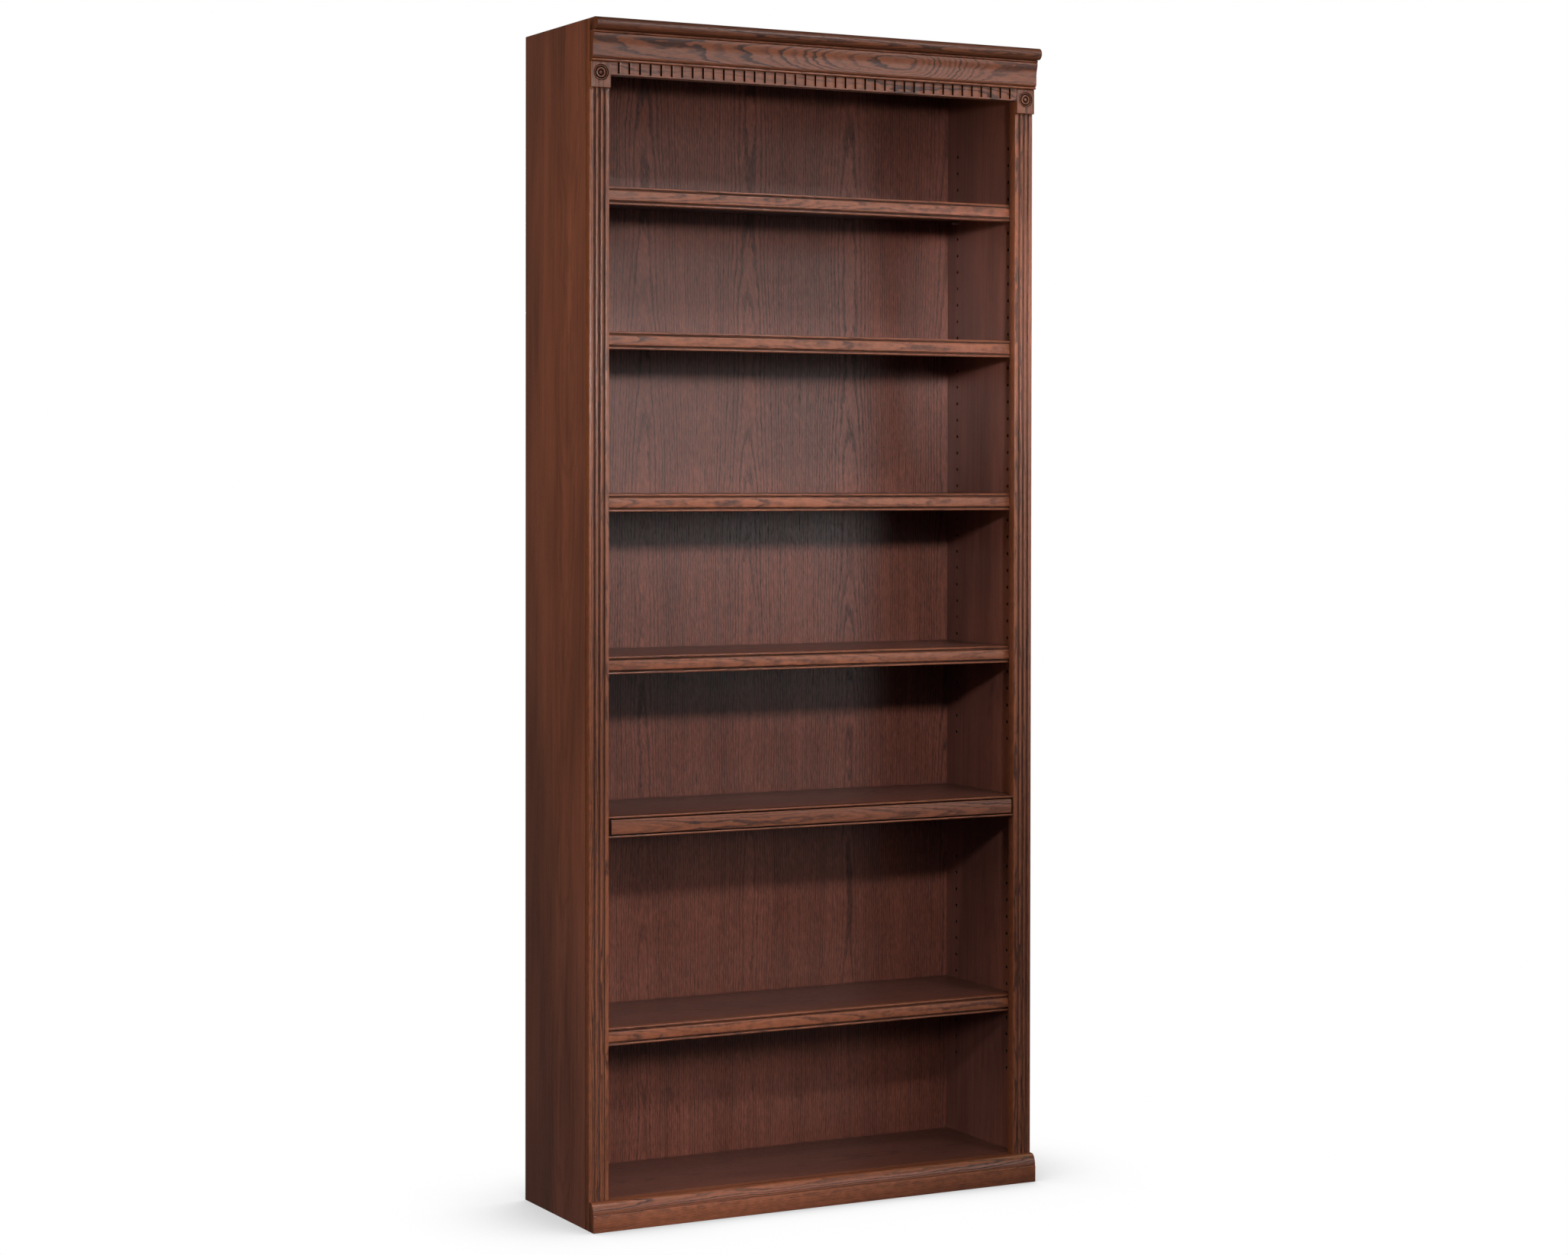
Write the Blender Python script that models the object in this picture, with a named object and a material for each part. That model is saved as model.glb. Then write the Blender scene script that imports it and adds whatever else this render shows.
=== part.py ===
"""Tall oak bookcase: moulded crown, fluted stiles, one fixed shelf and five shelves on pins.

Units are metres and +Z is up. The origin is on the floor under the middle of the case,
the width runs along X, and the open front faces -Y.
"""

import math

import bmesh
import bpy

# Whole case
WIDTH = 0.9144
DEPTH = 0.3175
HEIGHT = 2.1336
GAP = 0.0003  # left between pieces that touch
EASE = 0.0008  # bevel on the edges of boards
PAST = 0.002  # how far a cutter reaches past the surface it cuts

# Boards
SIDE_THICKNESS = 0.019
BOARD_THICKNESS = 0.019
BACK_THICKNESS = 0.005
RABBET_WIDTH = 0.0095
DADO_DEPTH = 0.006
BACK_MARGIN = 0.001  # the back panel stops this short of the sides' ends
TONGUE_DROP = 0.0015  # a housed shelf's end tongue lies this much below its top

# Face frame
STILE_WIDTH = 0.0381
FRAME_THICKNESS = 0.018
FLUTE_COUNT = 3
FLUTE_PITCH = 0.0094
FLUTE_RADIUS = 0.0024
RAIL_BOTTOM = 2.0357
DENTIL_BOTTOM = 2.0360

# Crown: a half-round cap over a coved frieze
CROWN_PROJECTION = 0.0335
CAP_RADIUS = 0.0106
FRIEZE_HEIGHT = 0.0536
FRIEZE_BEAD = 0.0022
FRIEZE_FOOT_BEAD = 0.0021
BEAD_PROJECTION = 0.0172  # centre of the top bead, in front of the face plane
QUIRK_PROJECTION = 0.0166
QUIRK_DROP = 0.0047
COVE_PROJECTION = 0.0184
COVE_DROP = 0.0056
COVE_HEIGHT = 0.0224
COVE_STEPS = 6
FLAT_PROJECTION = 0.0141
ROUND_OVER = (0.0036, 0.0056)
FOOT_HEIGHT = 0.0049  # from the foot up to the end of the round-over
FOOT_PROJECTION = 0.0103

# Dentil moulding
DENTIL_THICKNESS = 0.0056
KERF_COUNT = 40
KERF_PITCH = 0.0207
KERF_WIDTH = 0.0030
KERF_DEPTH = 0.0036
KERF_FLOOR = 0.0026  # height of the uncut strip along the bottom
KERF_FLOOR_SETBACK = 0.0006
KERF_FLOOR_RISE = 0.0002

# Rosette blocks
BLOCK_HEIGHT = 0.0456
BLOCK_THICKNESS = 0.0070
ROSETTE_DROP = 0.0194  # rosette centre below the block's top
ROSETTE_PROFILE = (  # radius, depth below the block's face
    (0.0, 0.0003),
    (0.0022, 0.0006),
    (0.0036, 0.0016),
    (0.0047, 0.0030),
    (0.0058, 0.0013),
    (0.0076, 0.0004),
    (0.0093, 0.0013),
    (0.0103, 0.0030),
    (0.0112, 0.0012),
    (0.0123, 0.0005),
    (0.0132, 0.0016),
    (0.0138, 0.0022),
    (0.0144, 0.0),
)
ROSETTE_SEGMENTS = 24

# Base board
BASE_HEIGHT = 0.052
BASE_PROJECTION = 0.0195
BASE_STEP_HEIGHT = 0.0308
BASE_STEP = 0.0012
BASE_ROUND_DEPTH = 0.0118
BASE_ARRIS = 0.0010  # the flat face is lost this much below the step

# Shelves
SHELF_THICKNESS = 0.0159
SHELF_END_CLEARANCE = 0.0015
SHELF_BACK_CLEARANCE = 0.002
NOSING_THICKNESS = 0.019
NOSING_HEIGHT = 0.03175
NOSING_MARGIN = 0.0070
NOSING_SETBACK = 0.001  # clearance behind the stiles
FIXED_SHELF_TOP = 0.7293
FIXED_NOSING_HEIGHT = 0.0381
FIXED_NOSING_MARGIN = 0.0060
FIXED_BAND_END_GAP = 0.005
NOTCH_MARGIN = 0.0012  # between a fillet and the notch at the band's end
FILLET_RECESS = 0.0020
FILLET_HEIGHT = 0.0034
QUIRK_DEPTH = 0.0042
QUIRK_SLOPE = 0.0004
ROUND = 0.0016

# Shelf pin holes and pins
HOLE_PITCH = 0.032
HOLE_RADIUS = 0.0028
HOLE_DEPTH = 0.011
HOLE_SIDES = 8
HOLE_SETBACK = 0.037
UPPER_HOLES_FROM = 0.832
UPPER_HOLE_COUNT = 36
LOWER_HOLES_FROM = 0.205
LOWER_HOLE_COUNT = 13
PIN_RADIUS = 0.0025
PIN_STEM = 0.010
PIN_COLLAR_RADIUS = 0.0042
PIN_COLLAR = 0.0010
PIN_HEAD_RADIUS = 0.0038
PIN_HEAD_LENGTH = 0.012
PIN_FLAT = 0.8  # half width of the head's flat top, as a share of its radius
SHELF_HOLES = {  # shelf number, counted from the top: (first hole of its column, holes above it)
    1: (UPPER_HOLES_FROM, 31),
    2: (UPPER_HOLES_FROM, 23),
    3: (UPPER_HOLES_FROM, 14),
    4: (UPPER_HOLES_FROM, 5),
    5: (LOWER_HOLES_FROM, 4),
}

# Planes worked out from the sizes above
FACE_Y = -DEPTH / 2 + CROWN_PROJECTION
FRAME_BACK_Y = FACE_Y + FRAME_THICKNESS
SIDE_FRONT_Y = FRAME_BACK_Y + GAP
BACK_Y = DEPTH / 2
BACK_FRONT_Y = BACK_Y - BACK_THICKNESS
PANEL_REAR_Y = BACK_FRONT_Y - 2 * GAP - EASE
INNER_X = WIDTH / 2 - SIDE_THICKNESS
OPENING_X = WIDTH / 2 - STILE_WIDTH
CAP_BOTTOM = HEIGHT - 2 * CAP_RADIUS
FRIEZE_TOP = CAP_BOTTOM - GAP
FRIEZE_BOTTOM = FRIEZE_TOP - FRIEZE_HEIGHT
FRONT_PIN_Y = SIDE_FRONT_Y + HOLE_SETBACK
REAR_PIN_Y = BACK_FRONT_Y - HOLE_SETBACK


def clear_scene():
    for obj in list(bpy.data.objects):
        bpy.data.objects.remove(obj, do_unlink=True)


def make_material(name, color, roughness, metallic=0.0):
    material = bpy.data.materials.new(name)
    material.use_nodes = True
    shader = material.node_tree.nodes["Principled BSDF"]
    shader.inputs["Base Color"].default_value = (*color, 1.0)
    shader.inputs["Roughness"].default_value = roughness
    shader.inputs["Metallic"].default_value = metallic
    material.diffuse_color = (*color, 1.0)
    return material


def add_object(name, mesh, material, location=(0.0, 0.0, 0.0), parent=None):
    obj = bpy.data.objects.new(name, mesh)
    if material:
        mesh.materials.append(material)
    bpy.context.scene.collection.objects.link(obj)
    obj.location = location
    obj.parent = parent
    return obj


def mesh_from(name, build):
    """A mesh filled by build(bm), with its faces pointing out."""
    bm = bmesh.new()
    build(bm)
    bmesh.ops.recalc_face_normals(bm, faces=bm.faces)
    mesh = bpy.data.meshes.new(name)
    bm.to_mesh(mesh)
    bm.free()
    return mesh


def add_box(bm, low, high):
    corners = [
        bm.verts.new((x, y, z))
        for x in (low[0], high[0])
        for y in (low[1], high[1])
        for z in (low[2], high[2])
    ]
    for face in ((0, 1, 3, 2), (4, 6, 7, 5), (0, 4, 5, 1), (2, 3, 7, 6), (0, 2, 6, 4), (1, 5, 7, 3)):
        bm.faces.new([corners[i] for i in face])


def add_extrusion(bm, outline, place, start, end):
    """Extrudes a closed outline; place(u, v, w) turns its points into x, y, z."""
    first = [bm.verts.new(place(u, v, start)) for u, v in outline]
    last = [bm.verts.new(place(u, v, end)) for u, v in outline]
    bm.faces.new(first)
    bm.faces.new(last)
    for i in range(len(outline)):
        j = (i + 1) % len(outline)
        bm.faces.new((first[i], first[j], last[j], last[i]))


def add_rings(bm, rings):
    """Joins rings of points with the same count into one closed solid."""
    loops = [[bm.verts.new(point) for point in ring] for ring in rings]
    count = len(loops[0])
    for one, two in zip(loops, loops[1:]):
        for i in range(count):
            j = (i + 1) % count
            bm.faces.new((one[i], one[j], two[j], two[i]))
    bm.faces.new(loops[0])
    bm.faces.new(loops[-1])


def arc(center, radii, start, end, steps):
    """Points on an ellipse's arc, with angles in degrees."""
    points = []
    for i in range(steps + 1):
        angle = math.radians(start + (end - start) * i / steps)
        points.append((center[0] + radii[0] * math.cos(angle), center[1] + radii[1] * math.sin(angle)))
    return points


def circle(center, radius, sides, turned=0.0):
    """Points on a circle, turned by a share of the step between two of them."""
    angles = [2 * math.pi * (i + turned) / sides for i in range(sides)]
    return [(center[0] + radius * math.cos(a), center[1] + radius * math.sin(a)) for a in angles]


def ease_edges(obj, width=EASE):
    bevel = obj.modifiers.new("eased_edges", "BEVEL")
    bevel.width = width
    bevel.segments = 1
    bevel.limit_method = "ANGLE"


def cut(obj, cutter_mesh, name, operation="DIFFERENCE"):
    """Cuts cutter_mesh from obj, or joins it on, keeping the cutter as a hidden helper."""
    cutter = add_object(f"{obj.name}_{name}", cutter_mesh, None)
    cutter.hide_render = True
    cutter.display_type = "WIRE"
    boolean = obj.modifiers.new(name, "BOOLEAN")
    boolean.operation = operation
    boolean.solver = "EXACT"
    boolean.object = cutter
    return cutter


def board(name, low, high, material, parent=None):
    """A flat board between two corners, with its origin at its middle."""
    middle = [(a + b) / 2 for a, b in zip(low, high)]
    half = [(b - a) / 2 for a, b in zip(low, high)]
    mesh = mesh_from(name, lambda bm: add_box(bm, [-h for h in half], half))
    base = parent.location if parent else (0.0, 0.0, 0.0)
    obj = add_object(name, mesh, material, [m - b for m, b in zip(middle, base)], parent)
    ease_edges(obj)
    return obj


def along_x(y, z, x):
    return x, y, z


def along_z(x, y, z):
    return x, y, z


def moulding(name, outline, half_length, material, location=(0.0, 0.0, 0.0), parent=None):
    """A moulding along X from its end outline, given as (y, z) points."""
    mesh = mesh_from(name, lambda bm: add_extrusion(bm, outline, along_x, -half_length, half_length))
    return add_object(name, mesh, material, location, parent)


# ---- outlines, as (y, z) points unless said otherwise ----


def cap_outline():
    nose_center = (FACE_Y - CROWN_PROJECTION + CAP_RADIUS, HEIGHT - CAP_RADIUS)
    nose = arc(nose_center, (CAP_RADIUS, CAP_RADIUS), 90, 270, 12)
    back = FACE_Y - GAP
    return [(back, HEIGHT), *nose, (back, CAP_BOTTOM)]


def frieze_outline():
    """Top bead, quirk, cove, flat, round-over, quirk and foot bead, from the top down."""
    top = FRIEZE_TOP
    foot = FRIEZE_BOTTOM
    back = FACE_Y - GAP
    points = [(back, top)]
    points += arc((FACE_Y - BEAD_PROJECTION, top - FRIEZE_BEAD), (FRIEZE_BEAD, FRIEZE_BEAD), 90, 270, 6)
    points += [(FACE_Y - QUIRK_PROJECTION, top - QUIRK_DROP), (FACE_Y - COVE_PROJECTION, top - COVE_DROP)]
    for i in range(1, COVE_STEPS + 1):
        share = i / COVE_STEPS
        sweep = (1 + math.cos(math.pi * share)) / 2
        projection = FLAT_PROJECTION + (COVE_PROJECTION - FLAT_PROJECTION) * sweep
        points.append((FACE_Y - projection, top - COVE_DROP - COVE_HEIGHT * share))
    round_center = (FACE_Y - FLAT_PROJECTION + ROUND_OVER[0], foot + FOOT_HEIGHT + ROUND_OVER[1])
    points += arc(round_center, ROUND_OVER, 180, 270, 5)
    foot_center = (FACE_Y - FOOT_PROJECTION, foot + FRIEZE_FOOT_BEAD)
    points += arc(foot_center, (FRIEZE_FOOT_BEAD, FRIEZE_FOOT_BEAD), 90, 270, 6)
    points.append((back, foot))
    return points


def base_outline():
    round_y = FACE_Y - (BASE_PROJECTION - BASE_STEP - BASE_ROUND_DEPTH)
    round_height = BASE_HEIGHT - BASE_STEP_HEIGHT
    points = [(FACE_Y - GAP, 0.0), (FACE_Y - BASE_PROJECTION, 0.0)]
    points.append((FACE_Y - BASE_PROJECTION, BASE_STEP_HEIGHT - BASE_ARRIS))
    points += arc((round_y, BASE_STEP_HEIGHT), (BASE_ROUND_DEPTH, round_height), 180, 90, 8)
    points.append((FACE_Y - GAP, BASE_HEIGHT))
    return points


def nosing_outline(front_y, top, height, margin, thickness):
    """Two fillets with a raised band between them, a quirk on each side of the band."""
    upper = [(FILLET_RECESS + p[0], p[1]) for p in arc((ROUND, -ROUND), (ROUND, ROUND), 90, 180, 3)]
    upper += [(FILLET_RECESS, -FILLET_HEIGHT), (QUIRK_DEPTH, -FILLET_HEIGHT - QUIRK_SLOPE)]
    upper += [(QUIRK_DEPTH, -margin)]
    upper += arc((ROUND, -margin - ROUND), (ROUND, ROUND), 90, 180, 3)
    lower = [(depth, -height - drop) for depth, drop in reversed(upper)]
    outline = [(thickness, 0.0), *upper, *lower, (thickness, -height)]
    return [(front_y + depth, top + drop) for depth, drop in outline]


def stile_outline():
    """Plan of a stile with its flutes, as (x, y) points from the stile's middle and the face plane."""
    half = STILE_WIDTH / 2
    points = [(-half, EASE), (-half + EASE, 0.0)]
    for i in range(FLUTE_COUNT):
        middle = (i - (FLUTE_COUNT - 1) / 2) * FLUTE_PITCH
        points += arc((middle, 0.0), (FLUTE_RADIUS, FLUTE_RADIUS), 180, 0, 6)
    points += [(half - EASE, 0.0), (half, EASE)]
    points += [(half, FRAME_THICKNESS), (-half, FRAME_THICKNESS)]
    return points


def dentil_outline():
    """Plan of the kerfed strip, as (x, y) points."""
    half = OPENING_X - GAP
    back = FACE_Y - GAP
    face = FACE_Y - DENTIL_THICKNESS
    points = [(-half, back), (-half, face)]
    for i in range(KERF_COUNT):
        middle = (i - (KERF_COUNT - 1) / 2) * KERF_PITCH
        for x, y in ((-1, 0.0), (-1, KERF_DEPTH), (1, KERF_DEPTH), (1, 0.0)):
            points.append((middle + x * KERF_WIDTH / 2, face + y))
    points += [(half, face), (half, back)]
    return points


# ---- the case ----


def side_panel(name, side, material):
    """A side with a rabbet for the back, two dados and two columns of blind pin holes."""
    outer_x = side * WIDTH / 2
    inner_x = side * INNER_X
    low_x, high_x = sorted((outer_x, inner_x))
    panel = board(name, (low_x, SIDE_FRONT_Y, 0.0), (high_x, BACK_Y, HEIGHT), material)

    def add_grooves(bm):
        past = inner_x - side * PAST
        rabbet_x = inner_x + side * (RABBET_WIDTH + GAP)
        low, high = sorted((past, rabbet_x))
        add_box(bm, (low, BACK_FRONT_Y - GAP, -PAST), (high, BACK_Y + PAST, HEIGHT + PAST))
        low, high = sorted((past, inner_x + side * DADO_DEPTH))
        for shelf_top in (FIXED_SHELF_TOP, BASE_HEIGHT):
            bottom = shelf_top - BOARD_THICKNESS - GAP
            top = shelf_top - TONGUE_DROP + GAP
            add_box(bm, (low, SIDE_FRONT_Y - PAST, bottom), (high, BACK_FRONT_Y - 2 * GAP, top))

    def add_holes(bm):
        columns = (
            (UPPER_HOLES_FROM, UPPER_HOLE_COUNT),
            (LOWER_HOLES_FROM, LOWER_HOLE_COUNT),
        )
        for first, count in columns:
            for i in range(count):
                for y in (FRONT_PIN_Y, REAR_PIN_Y):
                    z = first + i * HOLE_PITCH
                    outline = circle((y, z), HOLE_RADIUS, HOLE_SIDES, turned=0.5)
                    add_extrusion(bm, outline, along_x, inner_x - side * PAST, inner_x + side * HOLE_DEPTH)

    cut(panel, mesh_in(panel, add_grooves), "grooves").parent = panel
    cut(panel, mesh_in(panel, add_holes), "pin_holes").parent = panel
    return panel


def mesh_in(obj, build):
    """A mesh built in world coordinates, moved into the space of obj."""
    mesh = mesh_from(obj.name + "_helper", build)
    for vertex in mesh.vertices:
        vertex.co -= obj.location
    return mesh


def stile(name, side, material):
    mesh = mesh_from(name, lambda bm: add_extrusion(bm, stile_outline(), along_z, 0.0, HEIGHT))
    return add_object(name, mesh, material, (side * (WIDTH - STILE_WIDTH) / 2, FACE_Y, 0.0))


def rosette_block(name, side, material):
    """A corner block with a turned bull's-eye sunk into its face."""
    top = FRIEZE_BOTTOM - GAP
    x = side * (WIDTH - STILE_WIDTH) / 2
    low = (x - STILE_WIDTH / 2, FACE_Y - BLOCK_THICKNESS, top - BLOCK_HEIGHT)
    high = (x + STILE_WIDTH / 2, FACE_Y - GAP, top)
    block = board(name, low, high, material)
    face_y = low[1]
    center_z = top - ROSETTE_DROP

    def add_relief(bm):
        turned = [*ROSETTE_PROFILE[1:], (ROSETTE_PROFILE[-1][0], -PAST)]
        loops = []
        for radius, depth in turned:
            ring = circle((x, center_z), radius, ROSETTE_SEGMENTS)
            loops.append([bm.verts.new((u, face_y + depth, v)) for u, v in ring])
        tip = bm.verts.new((x, face_y + ROSETTE_PROFILE[0][1], center_z))
        for i in range(ROSETTE_SEGMENTS):
            j = (i + 1) % ROSETTE_SEGMENTS
            bm.faces.new((tip, loops[0][i], loops[0][j]))
            for one, two in zip(loops, loops[1:]):
                bm.faces.new((one[i], two[i], two[j], one[j]))
        bm.faces.new(loops[-1])

    cut(block, mesh_in(block, add_relief), "bullseye").parent = block
    return block


def dentil_moulding(material):
    """The kerfed strip, with an uncut strip along its bottom edge."""
    top = FRIEZE_BOTTOM - GAP
    mesh = mesh_from("dentil", lambda bm: add_extrusion(bm, dentil_outline(), along_z, DENTIL_BOTTOM, top))
    strip = add_object("dentil_moulding", mesh, material)
    half = OPENING_X - 2 * GAP
    low = (-half, FACE_Y - DENTIL_THICKNESS + KERF_FLOOR_SETBACK, DENTIL_BOTTOM + KERF_FLOOR_RISE)
    high = (half, FACE_Y - 2 * GAP, DENTIL_BOTTOM + KERF_FLOOR)
    cut(strip, mesh_from("kerf_floor", lambda bm: add_box(bm, low, high)), "kerf_floor", "UNION")
    return strip


def fixed_nosing(material):
    """The fixed shelf's nosing, whose raised band stops short of the stiles."""
    height = FIXED_NOSING_HEIGHT
    outline = nosing_outline(FACE_Y, FIXED_SHELF_TOP, height, FIXED_NOSING_MARGIN, FRAME_THICKNESS)
    half = OPENING_X - GAP
    nosing = moulding("fixed_shelf_nosing", outline, half, material)

    def add_notches(bm):
        for side in (-1, 1):
            low, high = sorted((side * (half - FIXED_BAND_END_GAP), side * (half + PAST)))
            bottom = FIXED_SHELF_TOP - height + FILLET_HEIGHT + NOTCH_MARGIN
            top = FIXED_SHELF_TOP - FILLET_HEIGHT - NOTCH_MARGIN
            add_box(bm, (low, FACE_Y - PAST, bottom), (high, FACE_Y + QUIRK_DEPTH - GAP, top))

    cut(nosing, mesh_from("notches", add_notches), "end_notches")
    return nosing


def housed_shelf(name, top, material):
    """A shelf whose end tongues sit in the sides' dados, below the line of its top."""
    half = INNER_X + DADO_DEPTH - GAP
    low = (-half, SIDE_FRONT_Y, top - BOARD_THICKNESS)
    high = (half, PANEL_REAR_Y, top)
    shelf = board(name, low, high, material)

    def add_tongue_steps(bm):
        for side in (-1, 1):
            low, high = sorted((side * (INNER_X - GAP), side * (half + PAST)))
            add_box(bm, (low, SIDE_FRONT_Y - PAST, top - TONGUE_DROP), (high, BACK_Y, top + PAST))

    cut(shelf, mesh_in(shelf, add_tongue_steps), "tongue_steps").parent = shelf
    return shelf


def case(oak_side, oak_front, oak_inside, oak_back):
    side_panel("side_panel_left", -1, oak_side)
    side_panel("side_panel_right", 1, oak_side)
    low = (-INNER_X - RABBET_WIDTH, BACK_FRONT_Y, BACK_MARGIN)
    high = (INNER_X + RABBET_WIDTH, BACK_Y, HEIGHT - BACK_MARGIN)
    board("back_panel", low, high, oak_back)
    low = (-INNER_X + GAP, SIDE_FRONT_Y, HEIGHT - BOARD_THICKNESS)
    board("top_panel", low, (INNER_X - GAP, PANEL_REAR_Y, HEIGHT), oak_side)
    housed_shelf("bottom_shelf", BASE_HEIGHT, oak_inside)
    housed_shelf("fixed_shelf", FIXED_SHELF_TOP, oak_inside)
    fixed_nosing(oak_front)
    base(oak_front, oak_inside)
    stile("stile_left", -1, oak_front)
    stile("stile_right", 1, oak_front)
    crown(oak_front)


def base(oak_front, oak_inside):
    """The moulded base board, the rail behind it, and the hidden rail and cleats under the bottom shelf."""
    moulding("base_board", base_outline(), WIDTH / 2, oak_front)
    half = OPENING_X - GAP
    board("bottom_rail", (-half, FACE_Y, 0.0), (half, FRAME_BACK_Y, BASE_HEIGHT), oak_front)
    under = BASE_HEIGHT - BOARD_THICKNESS - GAP
    inner = INNER_X - GAP
    rail_back = BACK_FRONT_Y - GAP
    rail_front = rail_back - BOARD_THICKNESS
    board("rear_base_rail", (-inner, rail_front, 0.0), (inner, rail_back, under), oak_inside)
    for name, side in (("base_cleat_left", -1), ("base_cleat_right", 1)):
        low, high = sorted((side * inner, side * (inner - BOARD_THICKNESS)))
        board(name, (low, SIDE_FRONT_Y, 0.0), (high, rail_front - GAP, under), oak_inside)


def crown(oak_front):
    """The top rail with its dentils, the corner blocks, the frieze and the cap."""
    half = OPENING_X - GAP
    board("top_rail", (-half, FACE_Y, RAIL_BOTTOM), (half, FRAME_BACK_Y, HEIGHT), oak_front)
    dentil_moulding(oak_front)
    rosette_block("rosette_block_left", -1, oak_front)
    rosette_block("rosette_block_right", 1, oak_front)
    moulding("crown_frieze", frieze_outline(), WIDTH / 2, oak_front)
    moulding("crown_cap", cap_outline(), WIDTH / 2, oak_front)


# ---- the parts that come out ----


def pin_mesh(side):
    """A pin for one side: stem in the hole, thin collar, and a head with a flat top for the shelf."""

    def ring(x, radius):
        return [(side * x, y, z) for y, z in circle((0.0, 0.0), radius, HOLE_SIDES, turned=0.5)]

    def flat_ring(x, radius):
        points = ring(x, radius)
        for i in (1, 2):  # the two uppermost points
            points[i] = (side * x, math.copysign(PIN_FLAT * radius, points[i][1]), PIN_RADIUS)
        return points

    rings = [
        ring(PIN_STEM, PIN_RADIUS),
        ring(-GAP, PIN_RADIUS),
        flat_ring(-GAP, PIN_COLLAR_RADIUS),
        flat_ring(-GAP - PIN_COLLAR, PIN_COLLAR_RADIUS),
        flat_ring(-GAP - PIN_COLLAR, PIN_HEAD_RADIUS),
        flat_ring(-PIN_HEAD_LENGTH, PIN_HEAD_RADIUS),
    ]
    return mesh_from("shelf_pin", lambda bm: add_rings(bm, rings))


def adjustable_shelf(number, oak_inside, oak_front):
    """A shelf board with its nosing, on an empty that stands where the pins hold it."""
    first, above = SHELF_HOLES[number]
    hole_z = first + above * HOLE_PITCH
    bottom = hole_z + PIN_RADIUS + GAP
    lift = bpy.data.objects.new(f"shelf_{number}_lift", None)
    lift.location = (0.0, 0.0, bottom)
    bpy.context.scene.collection.objects.link(lift)
    half = INNER_X - SHELF_END_CLEARANCE
    front = FRAME_BACK_Y + NOSING_SETBACK
    low = (-half, front + NOSING_THICKNESS + GAP, bottom)
    high = (half, BACK_FRONT_Y - SHELF_BACK_CLEARANCE, bottom + SHELF_THICKNESS)
    board(f"adjustable_shelf_{number}", low, high, oak_inside, lift)
    outline = nosing_outline(front, SHELF_THICKNESS, NOSING_HEIGHT, NOSING_MARGIN, NOSING_THICKNESS)
    moulding(f"shelf_{number}_nosing", outline, half, oak_front, parent=lift)
    return hole_z


def shelf_pins(number, hole_z, meshes, steel):
    for side_name, side in (("left", -1), ("right", 1)):
        for end, y in (("front", FRONT_PIN_Y), ("rear", REAR_PIN_Y)):
            name = f"shelf_{number}_pin_{end}_{side_name}"
            add_object(name, meshes[side], None, (side * INNER_X, y, hole_z))
        if not meshes[side].materials:
            meshes[side].materials.append(steel)


def main():
    clear_scene()
    oak_side = make_material("oak_side", (0.100, 0.032, 0.016), 0.42)
    oak_front = make_material("oak_front", (0.170, 0.066, 0.042), 0.40)
    oak_inside = make_material("oak_inside", (0.080, 0.030, 0.020), 0.42)
    oak_back = make_material("oak_back", (0.065, 0.028, 0.022), 0.50)
    steel = make_material("pin_steel", (0.55, 0.53, 0.50), 0.35, metallic=1.0)
    case(oak_side, oak_front, oak_inside, oak_back)
    pin_meshes = {side: pin_mesh(side) for side in (-1, 1)}
    for number in SHELF_HOLES:
        hole_z = adjustable_shelf(number, oak_inside, oak_front)
        shelf_pins(number, hole_z, pin_meshes, steel)


main()
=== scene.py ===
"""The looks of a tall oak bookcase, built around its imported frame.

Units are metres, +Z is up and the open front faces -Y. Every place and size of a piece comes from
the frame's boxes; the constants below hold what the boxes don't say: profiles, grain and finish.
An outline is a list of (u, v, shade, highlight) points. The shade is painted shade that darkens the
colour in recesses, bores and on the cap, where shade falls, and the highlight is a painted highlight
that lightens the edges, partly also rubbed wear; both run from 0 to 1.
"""
import math

import bmesh
import bpy
from mathutils import Euler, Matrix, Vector


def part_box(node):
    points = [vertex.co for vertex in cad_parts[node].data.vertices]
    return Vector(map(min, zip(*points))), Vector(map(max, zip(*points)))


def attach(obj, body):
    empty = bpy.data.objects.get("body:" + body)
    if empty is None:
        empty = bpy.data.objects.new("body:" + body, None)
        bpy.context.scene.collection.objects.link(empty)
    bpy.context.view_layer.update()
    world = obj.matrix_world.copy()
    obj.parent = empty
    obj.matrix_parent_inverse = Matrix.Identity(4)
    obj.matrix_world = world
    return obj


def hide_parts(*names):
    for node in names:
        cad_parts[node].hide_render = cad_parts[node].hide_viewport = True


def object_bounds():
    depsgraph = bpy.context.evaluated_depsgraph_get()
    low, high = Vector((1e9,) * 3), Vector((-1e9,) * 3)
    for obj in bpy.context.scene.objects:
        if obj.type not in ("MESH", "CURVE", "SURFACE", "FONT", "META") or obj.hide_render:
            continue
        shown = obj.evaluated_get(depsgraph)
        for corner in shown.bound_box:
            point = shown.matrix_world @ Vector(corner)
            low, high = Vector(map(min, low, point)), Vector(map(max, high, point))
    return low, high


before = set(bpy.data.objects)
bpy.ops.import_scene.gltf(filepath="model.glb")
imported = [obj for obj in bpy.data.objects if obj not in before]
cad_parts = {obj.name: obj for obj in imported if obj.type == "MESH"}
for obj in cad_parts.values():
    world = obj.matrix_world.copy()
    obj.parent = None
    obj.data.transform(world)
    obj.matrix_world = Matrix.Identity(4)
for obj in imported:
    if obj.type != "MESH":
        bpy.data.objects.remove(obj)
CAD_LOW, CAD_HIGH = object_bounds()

X, Y, Z = 0, 1, 2
SIDES = (("left", -1), ("right", 1))
SHELF_NUMBERS = range(1, 6)

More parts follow.
